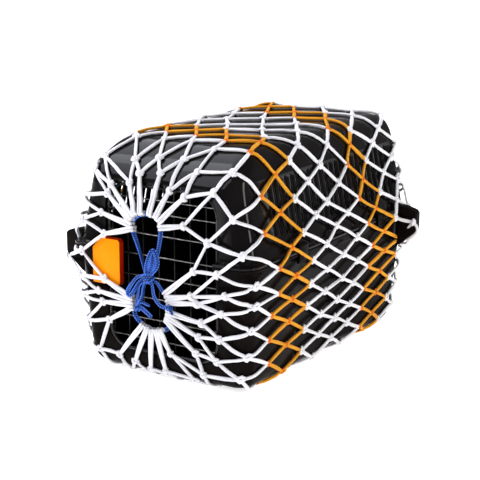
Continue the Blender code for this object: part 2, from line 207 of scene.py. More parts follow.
# Knots of the three rings that close over the front, by column.
RING_1_FRONT = {
    -4: (-79, -159, 320), -3: (-34, -156, 321), -2: (10, -152, 323), -1: (56, -167, 318),
    0: (105, -198, 296), 1: (118, -218, 240), 2: (134, -221, 195), 3: (145, -210, 156),
    4: (141, -206, 128), 5: (133, -205, 94), 6: (127, -202, 57), 7: (119, -201, 26),
    -9: (-183, -187, 146),
}
RING_2_FRONT = {
    -12: (-109, -208, 27), -11: (-126, -207, 67), -10: (-132, -211, 105), -9: (-130, -220, 134),
    -8: (-122, -231, 170), -7: (-125, -222, 212), -6: (-131, -205, 240), -5: (-110, -208, 281),
    -4: (-104, -197, 297), -3: (-52, -199, 299), -2: (-16, -193, 304), -1: (23, -191, 305),
    0: (54, -205, 294), 1: (88, -218, 272), 2: (84, -227, 207), 3: (101, -231, 168),
    4: (111, -227, 140), 5: (103, -224, 114), 6: (97, -220, 77), 7: (90, -215, 44),
    8: (66, -210, 20), 9: (49, -205, 10), 10: (18, -197, 4), 11: (-22, -193, 3), 12: (-64, -195, 5),
}
# Knots of the ring nearest the mouth, and where each one's two strands are hooked on the
# drawcord: x and z of the hook.
RING_3_FRONT = {
    -12: ((-83, -223, 76), (-36, 102)), -11: ((-91, -226, 101), (-36, 107)),
    -10: ((-97, -228, 116), (-37, 112)), -9: ((-84, -230, 135), (-38, 117)),
    -8: ((-84, -229, 198), (-33, 212)), -7: ((-91, -225, 226), (-36, 217)),
    -6: ((-83, -221, 253), (-37, 223)), -5: ((-78, -219, 265), (-34, 229)),
    -4: ((-47, -218, 271), (-29, 233)), -3: ((-34, -213, 284), (-19, 235)),
    -2: ((-2, -210, 287), (-5, 235)), -1: ((19, -219, 267), (5, 232)),
    0: ((43, -220, 261), (11, 227)), 1: ((45, -225, 224), (12, 219)),
    2: ((64, -231, 167), (19, 130)), 3: ((59, -229, 132), (22, 125)),
    4: ((66, -227, 123), (23, 119)), 5: ((71, -223, 96), (23, 106)),
    6: ((65, -221, 75), (22, 100)), 7: ((59, -219, 51), (20, 94)),
    8: ((17, -218, 43), (11, 77)), 9: ((2, -207, 14), (4, 76)),
    10: ((-24, -207, 13), (-4, 75)), 11: ((-49, -210, 19), (-12, 77)),
    12: ((-75, -212, 24), (-20, 80)),
}
HOOK_Y = -230
HOOK_SPREAD = 2.1
# A hooked strand's way from its knot over the drawcord and back behind it: the share of the way
# to the hook, then how far forward, to its own side and into the mouth.
HOOK_WAY = (
    (0, 0, 0.4, 0), (0.35, 2, 0.7, 0), (0.7, 2.5, 1, 0), (1, 3.4, 1, -2.5),
    (1, 2.2, 1, 1.8), (1, 0, 1, 3), (1, -2.6, 1, 1.2), (1, -3.2, 1, -2),
)
MOUTH_SPLIT = 165
MOUTH_CENTRES = {"upper": (-12, 212), "lower": (-7, 105)}
ORANGE_STEPS = (0, 1, 6, 7)
WHITE_HALF_WIDTH = 2.65
ORANGE_HALF_WIDTH = 2.75
WHITE_HALF_THICKNESS = 2.15
ORANGE_HALF_THICKNESS = 2.35
CORD_SIDES = 12
CORD_CREASE = 0.4
STRAND_STEPS = 10
STRAND_BOW = 1
STRAND_LEAN = 0.5
STRAND_TURN = (0.1, 1.25)
WIDTH_SPREAD = (0.9, 1.1)
# A crease's narrowness, and how soon a cord fills out from its pinched ends.
CREASE_NARROWNESS = 2.6
END_FULLNESS = 0.7
HOOKED_SHARE = 0.82
BEND_SPREAD = (0.88, 1.12)
ORANGE_BEND_SIZE = 0.8
WHITE_BEND_RADIUS = 1.9
ORANGE_BEND_RADIUS = 1.55
# Steps along the cords, from point to point.
WING_STRAND_STEP = 4.5
HOOK_STEP = 3.2
GATHER_STEP = 3
BEND_STEP = 1.7
TIE_STEP = 2.4
TIE_KNOT_STEP = 1.5
# One sheet bend: a bight, the strand crossing it and its tuck, as steps across the strand,
# along it and off the net.
SHEET_BEND = (
    ((-4.6, 2.6, -0.6), (-3.7, -1.4, 1), (0, -3.3, 1.6), (3.7, -1.4, 1), (4.6, 2.6, -0.6)),
    ((-4.2, -2.2, -0.4), (-2.8, 0.9, 2), (0.2, 1.5, 2.8), (3, 0.6, 2), (4.3, -2.4, -0.4)),
    ((-2.6, 4.2, -0.2), (-0.9, 1.6, 2.6), (1, -1, 2.9), (2.4, -4.2, -0.2)),
)

# Slant of a braid's strands, and the wave scale that puts one band on each millimetre.
PLAIT_SLANT = 32
BAND_EACH_MM = 0.314

# ---- the tie
TIE_WIDTH = 6
TIE_THICKNESS = 2.1
TIE_FACING = (0.45, -0.88, 0.12)
BOW_KNOT = (-2.5, -238, 150.5)
END_KNOT_LEFT = (-23.5, -237, 104.5)
END_KNOT_RIGHT = (28.5, -238, 114)
UPPER_RUN = (
    (-10, -236.5, 155), (-13, -235, 161.5), (-18.5, -234, 178), (-26.5, -232, 195),
    (-34, -230, 210), (-34, -229, 223), (-25, -228, 231), (-10, -228, 234), (4, -228, 232),
    (12, -229, 226), (13, -231, 214), (11, -232, 198), (8, -233, 182), (4, -234.5, 166),
    (1.5, -236, 156),
)
LOWER_RUN = (
    (3, -236.5, 147), (9, -235.5, 144), (15, -234, 135.5), (21, -232, 127), (25.5, -229, 114),
    (26, -228, 100), (22, -227, 85), (12, -226, 77), (-4, -226, 75), (-21, -226.5, 79.5),
    (-33, -228, 89.5), (-36, -228, 101), (-39, -229, 113), (-35, -231, 124), (-26, -232, 134),
    (-15, -233.5, 142), (-10, -236, 146),
)
STANDING_LOOP = (
    (-4, -241, 154), (-2.5, -243.5, 160), (-2, -244, 168), (1, -243, 179), (4.5, -241.5, 187.5),
    (7.5, -240.5, 189), (11, -240.2, 184), (14, -240.8, 174), (11.5, -241.6, 165.5),
    (3, -241, 156.5),
)
LEFT_LOOP = (
    (-10, -240.5, 152), (-15, -241.5, 151.5), (-20.5, -242, 148.5), (-29, -242, 138.5),
    (-35.5, -241.5, 129), (-36, -241, 123), (-32, -241, 122.5), (-27.5, -241, 127),
    (-21.5, -241.5, 136), (-15, -241.5, 144.5), (-11, -240.5, 147),
)
TAIL_LEFT_OUTER = (
    (-8, -239, 145), (-13, -240.5, 143), (-17, -240.5, 138), (-19.5, -239.5, 129.3),
    (-22.5, -238.5, 118), (-25, -237, 110), (-24, -237, 106),
)
TAIL_LEFT_INNER = (
    (-5, -239, 146), (-8.5, -240, 141), (-10.5, -240.5, 134), (-12, -240.5, 125),
    (-16.5, -240.5, 116.5), (-22, -239, 109.5), (-24, -238, 107),
)
TAIL_RIGHT = (
    (2, -239, 146), (5, -240.5, 138), (7, -241, 129), (11, -240.5, 121), (16, -239, 115.5),
    (22, -238, 113.5), (27, -238, 114),
)

# Turns of each knot: points counted from its centre, then the cord's width and thickness.
BOW_TURNS = (
    (((7, -1, 4), (3, -6, 5), (-4, -7, 3.5), (-9, -4.5, 1), (-11, 0, -2)), 5.4, 2.4),
    (((-7, 0, 7), (-2.5, -5.5, 4), (2, -7, -1), (5, -4, -6), (6, 0, -8)), 5, 2.4),
    (((-9, 1, -5), (-4, -4.5, -4), (1.5, -6.5, -3.5), (6.5, -4, -1), (8, 1, 2)), 4.8, 2.4),
    (((-3, 0, 9), (-4.5, -4, 4), (-4.5, -4.5, -3), (-3, 0, -8)), 4.6, 2.6),
    (((3, 0, 8), (2, -3.5, 4), (1, -4, -4), (1.5, 0, -8)), 4.6, 2.6),
    (((2, -1, 2), (4.5, -2.6, 12), (7.5, -2.4, 22), (8.5, -2, 32)), 8.4, 2),
)
LEFT_KNOT_TURNS = (
    (((-4, 1, 1), (-2, -3.5, 3), (2, -3.5, 2), (4, 1, -1)), 4.4, 2.2),
    (((-3, 1, -3), (-1, -3.8, -1), (2, -3, 2), (3, 1, 4)), 4.4, 2.2),
    (((1, 0, 0), (3, -1, 7), (8.5, -1.8, 10.7), (22.5, -2.2, 7.9)), 4.6, 2),
    (((1, 0, -2), (6, -1.2, 2.5), (14, -2, -0.5), (25.7, -2.6, -7.5)), 6.8, 2),
)
RIGHT_KNOT_TURNS = (
    (((-4, 1, 0), (-2, -3.6, 2), (2, -3.6, 1), (4, 1, -2)), 4.2, 2.2),
    (((-2, 1, -4), (0, -3.9, -1), (1, -3, 3), (0, 1, 4)), 4.2, 2.2),
    (((1, 0, 0), (4, -0.8, -3.5), (8, -1, -8)), 5, 2),
)

# ---- where it is seen from
VIEW_AZIMUTH = 33.2
VIEW_ELEVATION = 13.7
VIEW_DISTANCE = 1.9907
VIEW_TARGET = (-0.0143, -0.004, 0.1519)
LENS = 101.5
SENSOR = 36
FLOOR_REACH = 15000
SOFTBOX_TINT = "#F2F5FF"


# ==== small tools
def placed(point):
    """The model's metres from working millimetres."""
    return (point[0] * MM, (point[1] - FOOT_CENTRE_Y) * MM, point[2] * MM)


def linear(hex_colour):
    """Linear red, green, blue and alpha from an sRGB hex value."""
    parts = [int(hex_colour[i:i + 2], 16) / 255 for i in (1, 3, 5)]
    return tuple(p / 12.92 if p <= 0.04045 else ((p + 0.055) / 1.055) ** 2.4
                 for p in parts) + (1,)


def node(tree, kind, settings=None, steps=(), **links):
    """Adds one node: settings set its properties, steps a ramp's places and colours, and links
    its sockets, by name or as i and a number, to a value, an output or a node's first output."""
    made = tree.nodes.new("ShaderNode" + kind)
    for name, value in (settings or {}).items():
        setattr(made, name, value)
    for number, (place, colour) in enumerate(steps):
        made.color_ramp.elements[number].position = place
        made.color_ramp.elements[number].color = linear(colour)
    for name, value in links.items():
        socket = made.inputs[int(name[1:]) if name[0] == "i" and name[1:].isdigit()
                             else name.replace("_", " ")]
        if isinstance(value, bpy.types.Node):
            value = value.outputs[0]
        if isinstance(value, bpy.types.NodeSocket):
            tree.links.new(value, socket)
        else:
            socket.default_value = value
    return made


def new_material(name):
    """An empty material, its tree, and the places on its object in metres."""
    material = bpy.data.materials.new(name)
    material.use_nodes = True
    tree = material.node_tree
    tree.nodes.clear()
    return material, tree, node(tree, "TexCoord").outputs["Object"]


# ==== materials
def moulded_plastic(name, colour, worn, roughness, gloss_level):
    """Injection-moulded polypropylene: flow marks about 36 mm apart, ripples 17 mm apart that
    bend its reflections, and scuffs of 4 mm in the gloss."""
    material, tree, place = new_material(name)
    flow = node(tree, "TexNoise", Vector=place, Scale=28, Detail=3)
    scuff = node(tree, "TexNoise", Vector=place, Scale=240, Detail=5, Roughness=0.65)
    ripple = node(tree, "TexNoise", Vector=place, Scale=60, Detail=2)
    tint = node(tree, "ValToRGB", steps=((0.35, colour), (0.75, worn)), i0=flow)
    gloss = node(tree, "MapRange", Value=scuff, From_Min=0.35, From_Max=0.75, To_Min=roughness,
                 To_Max=roughness + 0.06)
    relief = node(tree, "Bump", Height=ripple, Strength=0.12, Distance=0.0006)
    shader = node(tree, "BsdfPrincipled", Base_Color=tint, Roughness=gloss, Normal=relief,
                  Specular_IOR_Level=gloss_level)
    node(tree, "OutputMaterial", Surface=shader)
    return material


def coated_wire(name, coat, bare, metal):
    """Steel wire under black epoxy: satin, with lighter steel where the coat is thin, in
    patches of 8 mm."""
    material, tree, place = new_material(name)
    wear = node(tree, "TexNoise", Vector=place, Scale=120, Detail=4)
    tint = node(tree, "ValToRGB", steps=((0.42, coat), (0.72, bare)), i0=wear)
    relief = node(tree, "Bump", Height=wear, Strength=0.25, Distance=0.0003)
    shader = node(tree, "BsdfPrincipled", Base_Color=tint, Roughness=0.22, Metallic=metal,
                  Normal=relief, Specular_IOR_Level=0.25)
    node(tree, "OutputMaterial", Surface=shader)
    return material


def braided_cord(name, light, shade_colour, plait, groove=None, rough=0.78):
    """Braided polyester cord: strands cross at a slant, so the grooves make small diamonds,
    with painted shade in the grooves and the ridges in the light colour, under a fuzz of loose
    fibres and uneven soil.
    plait is the millimetres from one strand to the next, coarser than the real one to show;
    groove is half the way round a flat braid, whose middle is painted darker than its two
    edges, as shade in the groove."""
    material, tree, place = new_material(name)
    surface = node(tree, "UVMap", {"uv_map": "cord"})
    slants = []
    for turn in (PLAIT_SLANT, -PLAIT_SLANT):
        turned = node(tree, "Mapping", Vector=surface, Rotation=(0, 0, math.radians(turn)))
        slants.append(node(tree, "TexWave", {"bands_direction": "Y"}, Vector=turned,
                           Scale=BAND_EACH_MM / plait, Distortion=0.35, Detail=1).outputs["Fac"])
    weave = node(tree, "Math", {"operation": "ADD"}, i0=slants[0], i1=slants[1])
    fuzz = node(tree, "TexNoise", Vector=place, Scale=900, Detail=3)
    soil = node(tree, "TexNoise", Vector=place, Scale=45, Detail=2)
    height = node(tree, "Math", {"operation": "MULTIPLY_ADD"}, i0=fuzz, i1=0.35, i2=weave)
    patch = node(tree, "Math", {"operation": "MULTIPLY"}, i0=soil, i1=0.4)
    tone = node(tree, "Math", {"operation": "MULTIPLY_ADD"}, i0=weave, i1=0.4, i2=patch)
    # A flat braid's middle is darkened: painted shade in its groove.
    if groove:
        middle = node(tree, "TexWave", {"bands_direction": "X"}, Vector=surface,
                      Scale=BAND_EACH_MM / groove, Phase_Offset=math.pi)
        darker = node(tree, "Math", {"operation": "SUBTRACT"}, i0=tone, i1=0.32)
        tone = node(tree, "Math", {"operation": "MULTIPLY_ADD"}, i0=middle.outputs["Fac"], i1=0.5,
                    i2=darker)
    # Low tone, in the weave's grooves, takes the shade colour: painted shade; the soil patches only
    # vary it.
    tint = node(tree, "ValToRGB", steps=((0.25, shade_colour), (0.9, light)), i0=tone)
    relief = node(tree, "Bump", Height=height, Strength=0.55, Distance=0.0005)
    shader = node(tree, "BsdfPrincipled", Base_Color=tint, Roughness=rough, Normal=relief,
                  Specular_IOR_Level=0.15, Sheen_Weight=0.04, Sheen_Roughness=0.5)
    node(tree, "OutputMaterial", Surface=shader)
    return material


def lit_sheet(name):
    """White acrylic sheet lit from below, as under catalogue goods: it keeps shadows faint."""
    material, tree, place = new_material(name)
    fibre = node(tree, "TexNoise", Vector=place, Scale=40, Detail=3)
    tint = node(tree, "ValToRGB", steps=((0.3, "#FAFAFA"), (0.8, "#FFFFFF")), i0=fibre)
    shader = node(tree, "BsdfPrincipled", Base_Color=tint, Roughness=0.9, Emission_Color=tint,
                  Emission_Strength=0.8, Specular_IOR_Level=0.1)
    node(tree, "OutputMaterial", Surface=shader)
    return material


# ==== mesh tools
def link_object(name, mesh, *materials):
    made = bpy.data.objects.new(name, mesh)
    for material in materials:
        mesh.materials.append(material)
    bpy.context.scene.collection.objects.link(made)
    return made


def solid(name, points, faces, *materials):
    mesh = bpy.data.meshes.new(name)
    mesh.from_pydata([placed(p) for p in points], [], faces)
    mesh.validate()
    return link_object(name, mesh, *materials)


def shade(piece, crease=SHELL_CREASE):
    mesh = piece.data
    mesh.polygons.foreach_set("use_smooth", [True] * len(mesh.polygons))
    mesh.set_sharp_from_angle(angle=math.radians(crease))


def settle(piece):
    """Applies the piece's modifiers to its mesh."""
    graph = bpy.context.evaluated_depsgraph_get()
    result = bpy.data.meshes.new_from_object(piece.evaluated_get(graph))
    piece.modifiers.clear()
    old = piece.data
    piece.data = result
    bpy.data.meshes.remove(old)


def combine(piece, tool, operation):
    step = piece.modifiers.new("step", "BOOLEAN")
    step.operation = operation
    step.solver = "EXACT"
    step.object = tool
    settle(piece)
    bpy.data.objects.remove(tool, do_unlink=True)


def soften(piece, width, segments=2):
    bevel = piece.modifiers.new("softened", "BEVEL")
    bevel.width = width * MM
    bevel.segments = segments
    bevel.limit_method = "ANGLE"
    bevel.angle_limit = math.radians(SOFT_EDGE_ANGLE)
    settle(piece)


def rounded_corners(centres, radii):
    """Plan points of a rounded rectangle whose four corner centres run anticlockwise."""
    outline = []
    for quarter, ((centre_a, centre_b), radius) in enumerate(zip(centres, radii)):
        for step in range(CORNER_STEPS + 1):
            angle = math.radians(90 * quarter + 90 * step / CORNER_STEPS)
            outline.append((centre_a + radius * math.cos(angle),
                            centre_b + radius * math.sin(angle)))
    return outline


def closed_faces(first, count, rings):
    """Faces of a closed body of rings of count points each, numbered on from first."""
    last = first + (rings - 1) * count
    faces = [tuple(reversed(range(first, first + count))), tuple(range(last, last + count))]
    for low in range(first, last, count):
        faces += [(low + i, low + (i + 1) % count, low + count + (i + 1) % count, low + count + i)
                  for i in range(count)]
    return faces


def stacked_body(name, levels, *materials):
    """A closed body through the outlines of its levels."""
    rings = []
    for z, half, front, back, fore, rear in levels:
        centres = ((half - rear, back - rear), (rear - half, back - rear),
                   (fore - half, front + fore), (half - fore, front + fore))
        rings.append([(x, y, z) for x, y in rounded_corners(centres, (rear, rear, fore, fore))])
    points = [point for ring in rings for point in ring]
    return solid(name, points, closed_faces(0, len(rings[0]), len(rings)), *materials)


def y_prism(name, outline, front, back, *materials):
    """A closed body with one X and Z outline from front to back."""
    area = sum(a[0] * b[1] - b[0] * a[1] for a, b in zip(outline, outline[1:] + outline[:1]))
    turn = outline[::-1] if area > 0 else outline
    points = [(x, y, z) for y in (front, back) for x, z in turn]
    return solid(name, points, closed_faces(0, len(turn), 2), *materials)


def doorway_outline(grow=0):
    half, low, high = DOOR_HALF_WIDTH + grow, DOOR_BOTTOM - grow, DOOR_TOP + grow
    radius = DOOR_CORNER + grow
    centres = ((half - radius, high - radius), (radius - half, high - radius),
               (radius - half, low + radius), (half - radius, low + radius))
    return rounded_corners(centres, [radius] * 4)


class Strands:
    """Many tubes gathered in one mesh, with a map of millimetres round and along each. What
    runs under the crate is pressed flat on the floor by its weight."""

    def __init__(self):
        self.points, self.faces, self.map, self.kinds = [], [], [], []

    def add(self, path, half_width, half_thickness, facing, twist=(0, 0), kind=0, sides=8,
            pinch=1, crease=0):
        """path is a list of Vectors; facing is the way its flat side looks, one for all of them
        or one each. twist turns it along the way, in radians; kind is its material; pinch is the
        share of its size at the ends. A crease is the groove down the middle of each flat side,
        as a share of the thickness."""
        first, count = len(self.points), len(path)
        walked, around = 0.0, math.pi * (half_width + half_thickness)
        marks = []
        looks = [facing] * count if isinstance(facing, Vector) else facing
        for i, point in enumerate(path):
            ahead = path[min(i + 1, count - 1)] - path[max(i - 1, 0)]
            ahead.normalize()
            out = looks[i] - ahead * looks[i].dot(ahead)
            out.normalize()
            stage = (len(twist) - 1) * i / (count - 1)
            near = min(int(stage), len(twist) - 2)
            turn = twist[near] + (twist[near + 1] - twist[near]) * (stage - near)
            out = Matrix.Rotation(turn, 3, ahead) @ out
            side = ahead.cross(out)
            middle = max(0, math.sin(math.pi * i / (count - 1))) ** END_FULLNESS
            fullness = pinch + (1 - pinch) * middle
            for s in range(sides):
                angle = 2 * math.pi * s / sides
                depth = 1 - crease * max(0, 1 - (CREASE_NARROWNESS * math.cos(angle)) ** 2)
                self.points.append(point + side * (half_width * fullness * math.cos(angle))
                                   + out * (half_thickness * depth * math.sin(angle)))
            if i:
                walked += (point - path[i - 1]).length
            marks.append(walked)
        for i in range(count - 1):
            for s in range(sides):
                after = (s + 1) % sides
                low, high = first + i * sides, first + (i + 1) * sides
                self.faces.append((low + s, low + after, high + after, high + s))
                a, b = around * s / sides, around * (s + 1) / sides
                self.map.append(((a, marks[i]), (b, marks[i]),
                                 (b, marks[i + 1]), (a, marks[i + 1])))
                self.kinds.append(kind)
        for start, order in ((first, -1), (first + (count - 1) * sides, 1)):
            ring = list(range(start, start + sides))[::order]
            self.faces.append(tuple(ring))
            self.map.append(tuple((0.0, 0.0) for _ in ring))
            self.kinds.append(kind)

    def made(self, name, *materials):
        pressed = [(p[0], p[1], max(p[2], FLOOR_GAP)) for p in self.points]
        piece = solid(name, pressed, self.faces, *materials)
        mesh = piece.data
        layer = mesh.uv_layers.new(name="cord")
        values = [number for corner in self.map for pair in corner for number in pair]
        layer.data.foreach_set("uv", values)
        mesh.polygons.foreach_set("material_index", self.kinds)
        mesh.polygons.foreach_set("use_smooth", [True] * len(mesh.polygons))
        return piece


def smooth_path(points, spacing):
    """Even steps along a curve that passes every given point."""
    knots = [Vector(p) for p in points]
    ends = [2 * knots[0] - knots[1]] + knots + [2 * knots[-1] - knots[-2]]
    fine = []
    for i in range(1, len(ends) - 2):
        before, start, finish, after = ends[i - 1:i + 3]
        for step in range(CURVE_STEPS):
            t = step / CURVE_STEPS
            fine.append(0.5 * ((2 * start) + (finish - before) * t
                               + (2 * before - 5 * start + 4 * finish - after) * t ** 2
                               + (3 * start - before - 3 * finish + after) * t ** 3))
    fine.append(knots[-1])
    length = sum((b - a).length for a, b in zip(fine, fine[1:]))
    count = max(3, round(length / spacing))
    path, walked, target = [fine[0]], 0.0, length / count
    for a, b in zip(fine, fine[1:]):
        run = (b - a).length
        while walked + run >= target and len(path) < count:
            path.append(a.lerp(b, (target - walked) / run))
            target += length / count
        walked += run
    path.append(fine[-1])
    return path


# ==== crate
def tub_wall(z):
    """Half the tub's width at a height between its foot and its waist."""
    (low, narrow), (high, wide) = TUB_OUTER[5][:2], TUB_OUTER[6][:2]
    return narrow + (z - low) * (wide - narrow) / (high - low)


def panel_cutter(side):
    """Shallow sunk panel on a long side: square at its floor, with sloping ends."""
    points = []
    for y in (PANEL_FRONT, PANEL_FRONT + PANEL_RAMP, PANEL_BACK - PANEL_RAMP, PANEL_BACK):
        sunk = PANEL_DEPTH if PANEL_FRONT < y < PANEL_BACK else -PANEL_CLEAR
        walls = [(side * (tub_wall(z) - sunk), y, z) for z in (PANEL_HIGH, PANEL_LOW)]
        mouth = [(side * CUT_SIDE, y, z) for z in (PANEL_LOW, PANEL_HIGH)]
        points += (walls + mouth)[::-side]
    return solid("panel", points, closed_faces(0, 4, 4))


def vent_cutter():
    """All the upright vent slots, right through both long sides."""
    points, faces = [], []
    for place in range(VENTS):
        y = VENT_FIRST + place * VENT_PITCH
        half = VENT_WIDTH / 2
        outline = [(y - half, VENT_LOW + half), (y, VENT_LOW), (y + half, VENT_LOW + half),
                   (y + half, VENT_HIGH - half), (y, VENT_HIGH), (y - half, VENT_HIGH - half)]
        faces += closed_faces(len(points), len(outline), 2)
        points += [(x, a, b) for x in (-CUT_SIDE, CUT_SIDE) for a, b in outline]
    return solid("vents", points, faces)


def build_shell(name, replaced, outer, inner, cutters, plastic):
    """Half of the crate: a hollow body with the doorway, the latch's pocket and its own cuts."""
    shell = stacked_body(name, outer, plastic)
    doorway = y_prism("doorway", doorway_outline(), CUT_FRONT, CUT_BACK)
    pocket = y_prism("pocket", LATCH_POCKET, CUT_FRONT, POCKET_BACK)
    for cutter in (stacked_body("hollow", inner), doorway, pocket, *cutters):
        combine(shell, cutter, "DIFFERENCE")
    soften(shell, SHELL_EDGE)
    shade(shell)
    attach(shell, "root")
    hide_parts(replaced)
    return shell


def finish_moulding(piece, edge, replaced):
    """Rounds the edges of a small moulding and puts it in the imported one's place."""
    soften(piece, edge, 3)
    shade(piece, SMALL_PART_CREASE)
    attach(piece, "root")
    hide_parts(replaced)


def build_clips(plastic):
    """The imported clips' own shapes with their edges rounded."""
    for name in CLIPS:
        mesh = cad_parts[name].data.copy()
        mesh.materials.clear()
        weld = bmesh.new()
        weld.from_mesh(mesh)
        bmesh.ops.remove_doubles(weld, verts=weld.verts, dist=0.00001)
        bmesh.ops.dissolve_limit(weld, angle_limit=math.radians(2), verts=weld.verts,
                                 edges=weld.edges)
        weld.to_mesh(mesh)
        weld.free()
        clip = link_object(name + "_moulding", mesh, plastic)
        finish_moulding(clip, CLIP_EDGE, name)


def build_wings(plastic):
    for name, side, middle in WINGS:
        wing = y_prism(name + "_moulding", [(side * x, z) for x, z in WING_OUTLINE],
                       middle - WING_THICKNESS / 2, middle + WING_THICKNESS / 2, plastic)
        finish_moulding(wing, WING_EDGE, name)


def build_latch(face_plastic, painted_shade_plastic):
    """Latch plate with a bright face and edges in a darker red copy of its plastic, painted shade
    for the sides turned from the light, and its foot behind.
    """
    plate = y_prism("latch_plate", LATCH_FACE, LATCH_FRONT, LATCH_BACK, face_plastic,
                    painted_shade_plastic)
    foot = y_prism("foot", LATCH_FOOT, LATCH_BACK - FOOT_OVERLAP, DOOR_FRONT - FOOT_CLEAR)
    combine(plate, foot, "UNION")
    finish_moulding(plate, LATCH_EDGE, "door_latch")
    # The edges take the darker copy: painted shade, since the real plastic is the same orange all
    # round.
    for face in plate.data.polygons:
        face.material_index = 0 if face.normal.y < -0.8 else 1
    return plate


def build_door(wire, painted_glint_wire):
    """Round wires welded across each other inside a bent rim; the cross wires take a lighter copy
    of the coat, a painted highlight where the light catches their tops.
    """
    door = Strands()
    middle = DOOR_FRONT + RIM_DEPTH
    rim = [Vector((x, middle, z)) for x, z in doorway_outline(-RIM_INSET)]
    rim.append(rim[0])
    door.add(rim, RIM_HALF_WIDTH, RIM_HALF_DEPTH, FORWARD)
    half, corner = DOOR_HALF_WIDTH - RIM_INSET, DOOR_CORNER - RIM_INSET
    for place in range(UPRIGHTS):
        x = UPRIGHT_FIRST + place * UPRIGHT_PITCH
        cut = max(0, abs(x) - (half - corner))
        rise = corner - math.sqrt(max(0, corner ** 2 - cut ** 2)) + RIM_INSET
        path = [Vector((x, middle + UPRIGHTS_BEHIND, z))
                for z in (DOOR_BOTTOM + rise, DOOR_TOP - rise)]
        door.add(path, WIRE_RADIUS, WIRE_RADIUS, FORWARD)
    for z in CROSS_WIRES:
        cut = max(0, DOOR_BOTTOM + DOOR_CORNER - z, z - DOOR_TOP + DOOR_CORNER)
        inset = corner - math.sqrt(max(0, corner ** 2 - min(cut, corner) ** 2))
        path = [Vector((x, middle - CROSS_WIRES_BEFORE, z)) for x in (inset - half, half - inset)]
        # Cross wires in the lighter copy of the coat: painted highlight.
        door.add(path, WIRE_RADIUS, WIRE_RADIUS, FORWARD, kind=1)
    piece = door.made("wire_door_wires", wire, painted_glint_wire)
    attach(piece, "root")
    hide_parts("wire_door")


# ==== net
class TautSurface:
    """The surface that a tight net touches: the crate's convex outline, a cord's half out."""

    def __init__(self, *pieces):
        form = bmesh.new()
        for piece in pieces:
            for vertex in piece.data.vertices:
                form.verts.new(vertex.co / MM + Vector((0, FOOT_CENTRE_Y, 0)))
        bmesh.ops.convex_hull(form, input=form.verts)
        spare = [v for v in form.verts if not v.link_faces]
        bmesh.ops.delete(form, geom=spare, context="VERTS")
        form.normal_update()
        for vertex in form.verts:
            vertex.co += vertex.normal * CORD_LIFT
        form.normal_update()
        self.tree = BVHTree.FromBMesh(form)
        self.rings = {}

    def nearest(self, point):
        return self.tree.find_nearest(point)[:2]

    def outside(self, point):
        """The point itself, or the surface just over it when it lies inside."""
        place, normal = self.nearest(point)
        if (point - place).dot(normal) < 0:
            return place
        return point

    def girth_ring(self, station):
        key = round(station)
        if key not in self.rings:
            middle = Vector((0, key, GIRTH_HEIGHT))
            ring = []
            for i in range(GIRTH_RAYS):
                angle = 2 * math.pi * i / GIRTH_RAYS
                outward = Vector((math.sin(angle), 0, math.cos(angle)))
                ring.append(self.tree.ray_cast(middle, outward)[0])
            self.rings[key] = ring
        return self.rings[key]

    def on_girth(self, station, along):
        """The point a given way round from the middle of the top, right side first."""
        ring = self.girth_ring(station)
        steps = [(b - a).length for a, b in zip(ring, ring[1:] + ring[:1])]
        left = along % sum(steps)
        for i, step in enumerate(steps):
            if left <= step:
                return ring[i].lerp(ring[(i + 1) % len(ring)], left / step)
            left -= step
        return ring[0]

    def over_back(self, start, reach):
        """A point on the way from the side to the middle of the back."""
        inner = Vector(BACK_RAY_START)
        aim = start.lerp(Vector(BACK_GATHER), reach) - inner
        return self.tree.ray_cast(inner, aim.normalized())[0]

    def on_way(self, girth, way):
        """The point a given way round and a given way back, over the back edge if need be."""
        if way <= BACK_EDGE:
            return self.on_girth(way, girth)
        start = self.on_girth(BACK_EDGE, girth)
        return self.over_back(start, (way - BACK_EDGE) / (start - Vector(BACK_GATHER)).length)


def column_table():
    """Girth places and ways back of all the columns: the left side mirrors the shoulder's, and
    those under the floor are spread evenly."""
    table = dict(SHOULDER_COLUMNS)
    for column in range(LAST_SHOULDER + 1):
        mirrored = tuple(drift - SHOULDER_COLUMNS[column][0][0] for drift in UNDER_DRIFT)
        table[FIRST_LEFT - column] = (mirrored, LEFT_WAY if column < LEFT_SIDE_COLUMNS
                                      else UNDER_WAY)
    left_end = table[LAST_LEFT][0][0] + WHOLE_GIRTH
    right_end = SHOULDER_COLUMNS[LAST_SHOULDER][0][0]
    gaps = LAST_LEFT + COLUMNS - LAST_SHOULDER
    for step in range(1, gaps):
        place = right_end + (left_end - right_end) * step / gaps
        table[LAST_SHOULDER + step] = (tuple(place + drift for drift in UNDER_DRIFT), UNDER_WAY)
    return table


def driven_place(surface, table, ring, column):
    """Girth place and way back of an even ring's knot."""
    girths, ways = table[(column - LAST_LEFT) % COLUMNS + LAST_LEFT]
    if ring <= TABLED_RING:
        return girths[ring // 2], ways[ring // 2]
    rest = (surface.on_girth(BACK_EDGE, girths[-1]) - Vector(BACK_GATHER)).length
    left = BACK_EDGE + BACK_REACH * rest - ways[-1]
    return girths[-1], ways[-1] + left * (ring - TABLED_RING) / (LAST_RING - TABLED_RING)


def between(first, second):
    """Halfway between two places on the girth, the short way round."""
    gap = (second[0] - first[0] + WHOLE_GIRTH / 2) % WHOLE_GIRTH - WHOLE_GIRTH / 2
    return first[0] + gap / 2, (first[1] + second[1]) / 2


